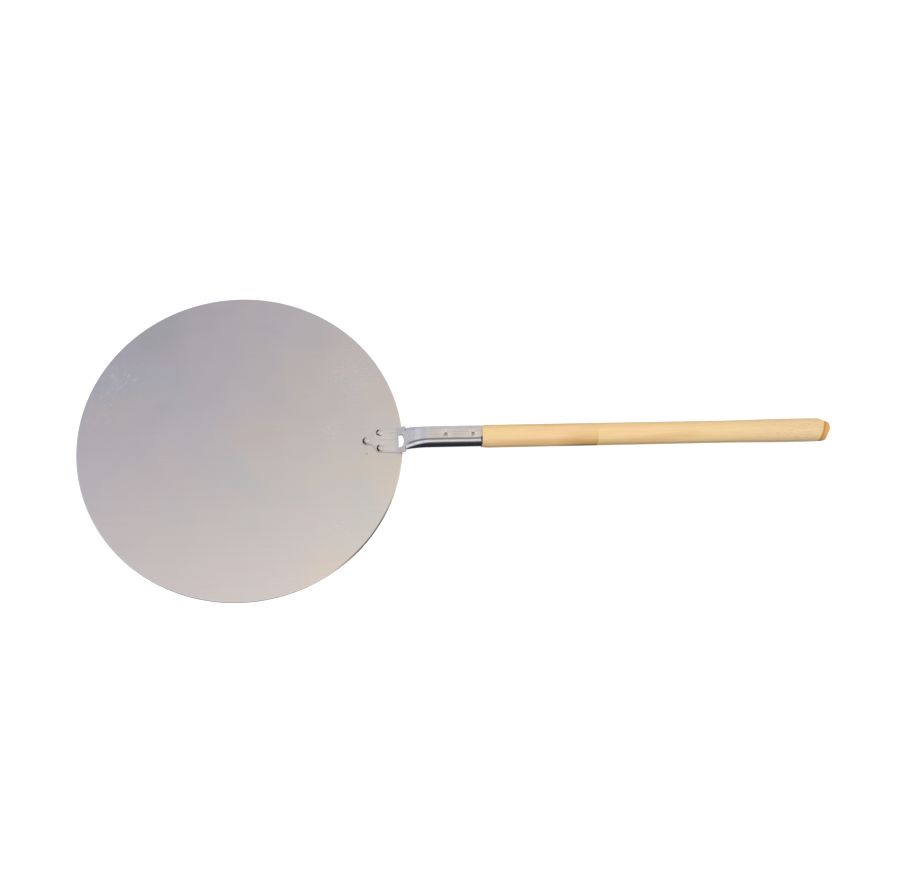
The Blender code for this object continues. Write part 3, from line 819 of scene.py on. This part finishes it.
def tangSection(x, shape, side):
    width = tangHalfWidth(x, shape)
    inner = width * shape["footFlat"] / shape["earHalfWidth"]
    height = crownHeight(x, shape)
    half = [(inner * part, height) for part in flatShares]
    for i in range(1, earColumns + 1):
        half.append((mix(inner, width, i / earColumns), height))
    return half


def evenSteps(start, end, count):
    return [mix(start, end, i / count) for i in range(count)]


def socketStations(shape):
    tongueCentre = middleOf("rivet_front").x
    radius = shape["tongueRadius"]
    tongue = [tongueCentre - radius * cos(pi / 2 * (i + 0.5) / 9) for i in range(9)]
    shoulderStart = tongueCentre + shape["shoulderStart"]
    shoulderEnd = tongueCentre + shape["shoulderEnd"]
    beforeBend = shape["bend"] - 0.001
    tongue += evenSteps(tongueCentre, shoulderStart, 2)
    shoulders = evenSteps(shoulderStart, shoulderEnd, 12)
    flare = evenSteps(shoulderEnd, beforeBend, 6)
    ears = evenSteps(beforeBend, shape["earEnd"], 8) + [shape["earEnd"]]
    ramp = evenSteps(shape["earEnd"] + shape["slit"], shape["rampEnd"], 22)
    neck = evenSteps(shape["rampEnd"], socketHigh.x, 16) + [socketHigh.x]
    return tongue + shoulders + flare + ears, ramp + neck


def makeOpeningCutter(shape):
    # D-shaped punch: half an ellipse towards the neck, straight along the bend
    reach = shape["openingEnd"] - shape["bend"] - shape["openingCorner"]
    halfWidth = shape["openingHalfWidth"]
    centre = Vector((shape["bend"] + shape["openingCorner"], shape["openingOffset"], tangTop))
    deselectAll()
    bpy.ops.mesh.primitive_cylinder_add(
        vertices=64, radius=halfWidth, depth=8 * sheet, location=centre
    )
    punch = bpy.context.object
    punch.scale = (reach / halfWidth, 1, 1)
    settle(punch, "openingPunch")
    bpy.ops.object.mode_set(mode="EDIT")
    bpy.ops.mesh.select_all(action="SELECT")
    bpy.ops.mesh.bisect(plane_co=centre, plane_no=(1, 0, 0), clear_inner=True, use_fill=True)
    bpy.ops.object.mode_set(mode="OBJECT")
    pickFaces(punch, lambda middle, normal: normal.x < -0.9)
    move = (-shape["openingCorner"], 0, 0)
    bpy.ops.mesh.extrude_region_move(TRANSFORM_OT_translate={"value": move})
    bpy.ops.mesh.select_all(action="SELECT")
    bpy.ops.mesh.normals_make_consistent(inside=False)
    bpy.ops.object.mode_set(mode="OBJECT")
    return punch


def nailFrame(node, shape):
    # on the neck's flat top at the nail, with Z square to it
    x = middleOf(node).x
    for _ in range(3):  # the nail leans with the handle, so its middle isn't under its head
        x = middleOf(node).x - (crownHeight(x, shape) - middleOf(node).z) * tan(shape["slope"])
    return Matrix.Translation((x, 0, crownHeight(x, shape))) @ Matrix.Rotation(-shape["slope"], 4, "Y")


def nailHoleCutters(shape):
    hole = nailShape["shank"] + clearance
    first = turnRings([(hole, -nailShape["length"] - clearance), (hole, 0.0030)], 24, pole=False)
    cutters = []
    for node in nailNodes:
        cutters.append(copyTo(first, node + "Hole", nailFrame(node, shape)))
    bpy.data.objects.remove(first)
    return cutters


def makeSocket(shape):
    tangRows, neckRows = socketStations(shape)
    stations = tangRows + neckRows
    half = flatColumns + shoulderColumns + wrapColumns
    deselectAll()
    bpy.ops.mesh.primitive_grid_add(
        x_subdivisions=len(stations) - 1, y_subdivisions=2 * half, size=2, location=(0, 0, 0)
    )
    socket = bpy.context.object
    settle(socket, "socketSheet")

    # the blank's outline: beside the tang and along the slits behind the ears, sheet is cut away
    rowStep = 2 / (len(stations) - 1)
    columnStep = 1 / half
    earReach = (flatColumns + earColumns) * columnStep
    flatReach = flatColumns * columnStep
    slitRow = len(tangRows) - 1

    def isScrap(centre, normal):
        row = (centre.x + 1) / rowStep
        across = abs(centre.y)
        if row < slitRow:
            return across > earReach
        return row < slitRow + 1 and across > flatReach

    pickFaces(socket, isScrap)
    bpy.ops.mesh.delete(type="FACE")
    bpy.ops.object.mode_set(mode="OBJECT")

    # each point of the blank goes to its place on the former
    sections = {}
    for vertex in socket.data.vertices:
        row = round((vertex.co.x + 1) / rowStep)
        column = round(vertex.co.y / columnStep)
        side = 1 if column >= 0 else -1
        if (row, side) not in sections:
            make = tangSection if row <= slitRow else neckSection
            sections[row, side] = make(stations[row], shape, side)
        y, z = sections[row, side][abs(column)]
        vertex.co = (stations[row], side * y, z)
    bpy.ops.object.mode_set(mode="EDIT")
    bpy.ops.mesh.select_all(action="SELECT")
    bpy.ops.mesh.normals_make_consistent(inside=False)
    bpy.ops.object.mode_set(mode="OBJECT")
    top = max(socket.data.polygons, key=lambda face: face.center.z)
    if top.normal.z < 0:
        socket.data.flip_normals()

    wall = socket.modifiers.new("wall", "SOLIDIFY")
    wall.thickness = sheet
    wall.offset = -1
    wall.use_even_offset = True
    edges = socket.modifiers.new("edges", "BEVEL")
    edges.width = shape["edgeRounding"]
    edges.segments = 2
    edges.limit_method = "ANGLE"
    edges.angle_limit = radians(50)
    applyModifiers(socket)
    cutAway(socket, [*rivetHoleCutters(bladeShape), *nailHoleCutters(shape), makeOpeningCutter(shape)])
    shadeByAngle(socket, 40)
    return socket


# Rivets: a low domed head, a shank and a tail flush in the blade's countersink

rivetShape = {
    "headRadius": 0.0032, "headHeight": 0.0013, "headRim": 0.0004,
    "shank": 0.0019, "tail": 0.0029, "tailDepth": 0.0008, "sides": 48,
}


def makeRivets(shape):
    seat = tangTop + clearance
    rings = [(shape["tail"], 0.0), (shape["shank"], shape["tailDepth"]), (shape["shank"], seat)]
    rings += [(shape["headRadius"] - 0.0001, seat), (shape["headRadius"], seat + 0.0001)]
    for i in range(9):
        turn = pi / 2 * i / 9
        height = mix(shape["headRim"], shape["headHeight"], sin(turn))
        rings.append((shape["headRadius"] * cos(turn), seat + height))
    first = turnRings(rings, shape["sides"])
    rivets = []
    for name, node in zip(("rivetFront", "rivetRearLeft", "rivetRearRight"), rivetNodes):
        centre = middleOf(node)
        rivet = copyTo(first, name, Matrix.Translation((centre.x, centre.y, 0)))
        shadeByAngle(rivet, 40)
        rivets.append(rivet)
    bpy.data.objects.remove(first)
    return rivets


# Nails: round heads on the neck's flat, shanks down into the tenon

nailShape = {
    "head": 0.0017, "headHeight": 0.0005, "shank": 0.0008, "length": 0.0100,
    "point": 0.002, "sides": 32,
}


def makeNails(shape, neck):
    rings = [(0.0001, -shape["length"]), (shape["shank"], shape["point"] - shape["length"])]
    rings += [(shape["shank"], clearance), (shape["head"], clearance)]
    for i in range(6):
        turn = pi / 2 * i / 6
        height = mix(clearance + 0.0002, clearance + shape["headHeight"], sin(turn))
        rings.append((shape["head"] * cos(turn), height))
    first = turnRings(rings, shape["sides"])
    nails = []
    for name, node in zip(("nailFront", "nailRear"), nailNodes):
        nail = copyTo(first, name, nailFrame(node, neck))
        shadeByAngle(nail, 40)
        nails.append(nail)
    bpy.data.objects.remove(first)
    return nails


# Handle: turned grip with a slight swell, and a tenon that fills the neck

handleShape = {
    "radius": 0.01115, "swell": 0.0119, "sides": 96,
    "swellStart": 0.115, "swellFull": 0.040,  # from the handle's end
    "shoulderDrop": 0.0007, "shoulderLength": 0.008,
    "chamfer": 0.0085, "endRadius": 0.0097, "endCrown": 0.0013,
    "tenonStart": 0.1770, "tenonOverlap": 0.006,
    # the end's two corners are pared flat: a point from the end's middle, and where the cut faces
    "farParing": ((0.0027, 0.0058, 0.0036), (0.42, 0.905, 0.565)),
    "nearParing": ((0.0023, -0.0015, 0.0009), (0.80, -0.51, 0.31)),
}


def handleRings(shape, length):
    rings = [(shape["radius"] - shape["shoulderDrop"], 0.0)]
    for i in range(1, 7):
        share = i / 6
        drop = shape["shoulderDrop"] * (1 - share) ** 2
        rings.append((shape["radius"] - drop, shape["shoulderLength"] * share))
    swellStart = length - shape["swellStart"]
    swellFull = length - shape["swellFull"]
    for i in range(1, 12):
        rings.append((shape["radius"], mix(shape["shoulderLength"], swellStart, i / 12)))
    for i in range(13):
        share = i / 12
        radius = mix(shape["radius"], shape["swell"], smooth(share))
        rings.append((radius, mix(swellStart, swellFull, share)))
    rings.append((shape["swell"], length - 0.020))
    rings.append((shape["swell"] - 0.0001, length - 0.012))
    chamferStart = length - shape["chamfer"]
    flatEnd = length - shape["endCrown"]
    for i in range(9):
        share = i / 8
        radius = mix(shape["swell"] - 0.0002, shape["endRadius"], share ** 2.2)
        rings.append((radius, mix(chamferStart, flatEnd, share)))
    for i in range(1, 6):
        turn = pi / 2 * i / 6
        rings.append((shape["endRadius"] * cos(turn), flatEnd + shape["endCrown"] * sin(turn)))
    return rings


def makeHandle(shape, neck):
    slope = neck["slope"]
    start = socketHigh.x + clearance
    length = (handleHigh.x - start) / cos(slope)
    grip = turnRings(handleRings(shape, length), shape["sides"])
    along = Matrix.Rotation(pi / 2 - slope, 4, "Y")
    grip.matrix_world = Matrix.Translation((start, 0, axisHeight(start))) @ along
    settle(grip, "handleWood")

    endMiddle = Vector((handleHigh.x, 0, axisHeight(handleHigh.x)))
    bpy.ops.object.mode_set(mode="EDIT")
    for offset, faces in (shape["farParing"], shape["nearParing"]):
        bpy.ops.mesh.select_all(action="SELECT")
        bpy.ops.mesh.bisect(plane_co=endMiddle + Vector(offset), plane_no=faces, clear_outer=True,
                            use_fill=True)
    bpy.ops.object.mode_set(mode="OBJECT")

    # the tenon has the neck's inner section, less the clearance
    far, near = [neckSection(neck["rampEnd"], neck, side, sheet + clearance) for side in (1, -1)]
    outline = far + [(-y, z) for y, z in reversed(near[1:])]
    deselectAll()
    bpy.ops.mesh.primitive_circle_add(vertices=len(outline), radius=0.01, fill_type="NGON")
    tenon = bpy.context.object
    base = axisHeight(neck["rampEnd"])
    tenonStart = shape["tenonStart"]
    for vertex, (y, z) in zip(tenon.data.vertices, outline):
        vertex.co = (tenonStart, y, z - base + axisHeight(tenonStart))
    bpy.ops.object.mode_set(mode="EDIT")
    bpy.ops.mesh.select_all(action="SELECT")
    reach = start + shape["tenonOverlap"] - tenonStart
    move = (reach, 0, reach * tan(slope))
    bpy.ops.mesh.extrude_region_move(TRANSFORM_OT_translate={"value": move})
    bpy.ops.mesh.select_all(action="SELECT")
    bpy.ops.mesh.normals_make_consistent(inside=False)
    bpy.ops.object.mode_set(mode="OBJECT")
    settle(tenon, "tenon")
    cutAway(grip, [tenon], "UNION")
    cutAway(grip, nailHoleCutters(neck))
    shadeByAngle(grip, 35)
    return grip, start, length


# Camera: above the blade's near side, looking down at the whole peel

cameraSetup = {
    "offset": Vector((-0.1354, -0.2798, 0.8176)),  # from the middle of the peel's box
    "turn": (18.698, -7.062, -3.104),
    "lens": 36, "sensor": 36,
}


def makeCamera(setup):
    middle = (cadLow + cadHigh) / 2
    data = bpy.data.cameras.new("camera")
    data.lens = setup["lens"]
    data.sensor_width = setup["sensor"]
    camera = bpy.data.objects.new("camera", data)
    camera.location = middle + setup["offset"]
    camera.rotation_euler = [radians(angle) for angle in setup["turn"]]
    bpy.context.scene.collection.objects.link(camera)
    bpy.context.scene.camera = camera
    print("camera", [round(v, 4) for v in camera.location])


# Studio: pale floor in a pale room, with a sky of soft light that the metal mirrors

studioSetup = {
    # colours of the sky from the near side (-1) to the far side (1), as brightness from 0 to 1
    "bands": (
        (-1.0, (0.56, 0.60, 0.62)), (-0.45, (0.66, 0.685, 0.70)), (0.0, (0.985, 0.905, 0.72)),
        (0.45, (0.385, 0.37, 0.365)), (0.75, (0.55, 0.545, 0.57)), (1.0, (0.56, 0.555, 0.585)),
    ),
    "skyStrength": 1.35,
    "towardsHandle": (0.76, 0.63, 0.24), "handleLimits": (-0.30, 0.25),
    # a second soft light beyond the blade, which the ramp mirrors
    "pastBlade": (0.20, 0.19, 0.12), "pastBladeLimits": (-0.30, -0.62),
    # the sky is dark on the other side of a plane square to this, and opens again past the handle
    "litSide": (-0.30, 0.64, 0.72), "litLimits": (-0.06, 0.10), "openLimits": (0.40, 0.62),
    "below": (0.030, 0.034, 0.042),
    "fillStrength": 1.38, "fillColour": (0.98, 0.99, 1.0),
    "fillSpread": 140, "fillFrom": (0, -0.52, 0.86),
    "floorGlow": 0.86, "floorPaint": "8C8C8C", "floorSize": 16,
    "roomGlow": 0.98, "roomRadius": 7.5,
}


def plainGlow(name, paint, strength):
    material = bpy.data.materials.new(name)
    material.use_nodes = True
    shader = material.node_tree.nodes["Principled BSDF"]
    shader.inputs["Base Color"].default_value = hexColour(paint)
    shader.inputs["Roughness"].default_value = 1.0
    shader.inputs["Specular IOR Level"].default_value = 0.0
    shader.inputs["Emission Color"].default_value = (1, 1, 1, 1)
    shader.inputs["Emission Strength"].default_value = strength
    return material


def makeStudio(setup):
    world = bpy.data.worlds.new("softSky")
    world.use_nodes = True
    bpy.context.scene.world = world
    tree = world.node_tree
    background = tree.nodes["Background"]
    background.inputs["Strength"].default_value = setup["skyStrength"]
    direction = addNode(tree, "ShaderNodeTexCoord").outputs["Generated"]
    split = addNode(tree, "ShaderNodeSeparateXYZ", None, {0: direction})
    nearToFar = addNode(tree, "ShaderNodeMapRange", {1: -1.0, 2: 1.0}, {0: split.outputs[1]})
    bands = addNode(tree, "ShaderNodeValToRGB", None, {0: nearToFar.outputs[0]})
    stops = bands.color_ramp.elements
    while len(stops) < len(setup["bands"]):
        stops.new(0.5)
    for stop, (place, colour) in zip(stops, setup["bands"]):
        stop.position = (place + 1) / 2
        stop.color = (*colour, 1)
    low, high = setup["handleLimits"]
    alongHandle = addNode(tree, "ShaderNodeMapRange", {1: low, 2: high, 3: low, 4: high},
                          {0: split.outputs[0]})
    tinted = addNode(tree, "ShaderNodeVectorMath", {1: setup["towardsHandle"]},
                     {0: alongHandle.outputs[0], 2: bands.outputs[0]}, operation="MULTIPLY_ADD")
    none, full = setup["pastBladeLimits"]
    beyond = addNode(tree, "ShaderNodeMapRange", {1: none, 2: full}, {0: split.outputs[0]},
                     interpolation_type="SMOOTHSTEP")
    brightened = addNode(tree, "ShaderNodeVectorMath", {1: setup["pastBlade"]},
                         {0: beyond.outputs[0], 2: tinted.outputs[0]}, operation="MULTIPLY_ADD")
    side = Vector(setup["litSide"]).normalized()
    towardsLight = addNode(tree, "ShaderNodeVectorMath", {1: tuple(side)}, {0: direction},
                           operation="DOT_PRODUCT")
    none, full = setup["litLimits"]
    lit = addNode(tree, "ShaderNodeMapRange", {1: none, 2: full}, {0: towardsLight.outputs["Value"]},
                  interpolation_type="SMOOTHSTEP")
    none, full = setup["openLimits"]
    opening = addNode(tree, "ShaderNodeMapRange", {1: none, 2: full}, {0: split.outputs[0]},
                      interpolation_type="SMOOTHSTEP")
    litShare = combine(tree, "MAXIMUM", lit.outputs[0], opening.outputs[0])
    sky = addNode(tree, "ShaderNodeMix", {6: (*setup["below"], 1)},
                  {0: litShare, 7: brightened.outputs[0]}, data_type="RGBA")
    tree.links.new(sky.outputs[2], background.inputs["Color"])

    fill = bpy.data.lights.new("overheadFill", "SUN")
    fill.energy = setup["fillStrength"]
    fill.color = setup["fillColour"]
    fill.angle = radians(setup["fillSpread"])
    fillLight = bpy.data.objects.new("overheadFill", fill)
    fillLight.rotation_euler = Vector(setup["fillFrom"]).to_track_quat("Z", "Y").to_euler()
    fillLight.visible_glossy = False  # it fills the wood and floor without a glare on the metal
    bpy.context.scene.collection.objects.link(fillLight)

    deselectAll()
    underneath = (0, 0, cadLow.z - 0.0001)
    bpy.ops.mesh.primitive_plane_add(size=setup["floorSize"], location=underneath)
    floor = bpy.context.object
    floor.name = "floor"
    floor.data.materials.append(plainGlow("Matt white paper", setup["floorPaint"], setup["floorGlow"]))
    bpy.ops.mesh.primitive_uv_sphere_add(segments=48, ring_count=24, radius=setup["roomRadius"])
    room = bpy.context.object
    room.name = "room"
    room.visible_shadow = False
    room.visible_transmission = False
    room.data.materials.append(plainGlow("Matt white wall", "000000", setup["roomGlow"]))
    for stage in (floor, room):
        stage.visible_glossy = False
        stage.visible_diffuse = False
    print("studio ready")


bpy.context.scene.view_settings.view_transform = "Standard"
makeCamera(cameraSetup)
makeStudio(studioSetup)

blade = makeBlade(bladeShape)
print("blade", len(blade.data.polygons), "faces")
socket = makeSocket(socketShape)
print("socket", len(socket.data.polygons), "faces")
rivets = makeRivets(rivetShape)
nails = makeNails(nailShape, socketShape)
print("rivets and nails", len(rivets) + len(nails))
handle, gripStart, gripLength = makeHandle(handleShape, socketShape)
print("handle", len(handle.data.polygons), "faces")

bladeFinish = rolledBladeAluminium()
socketFinish = formedSocketAluminium()
rivetFinish = setRivetAluminium()
nailFinish = nailSteel()
woodFinish = turnedBeech((gripStart, 0, axisHeight(gripStart)), socketShape["slope"], gripLength)

fitted = [
    (blade, "blade", "blade_sheet", bladeFinish),
    (socket, "socket", "socket_sheet", socketFinish),
    (handle, "handle", "handle_wood", woodFinish),
]
fitted += [(rivet, node, "rivets", rivetFinish) for rivet, node in zip(rivets, rivetNodes)]
fitted += [(nail, node, "nails", nailFinish) for nail, node in zip(nails, nailNodes)]
for piece, node, slot, finish in fitted:
    piece.data.materials.clear()
    piece.data.materials.append(finish)
    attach(piece, "root")
    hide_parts(node)
print("pieces fitted", len(fitted))
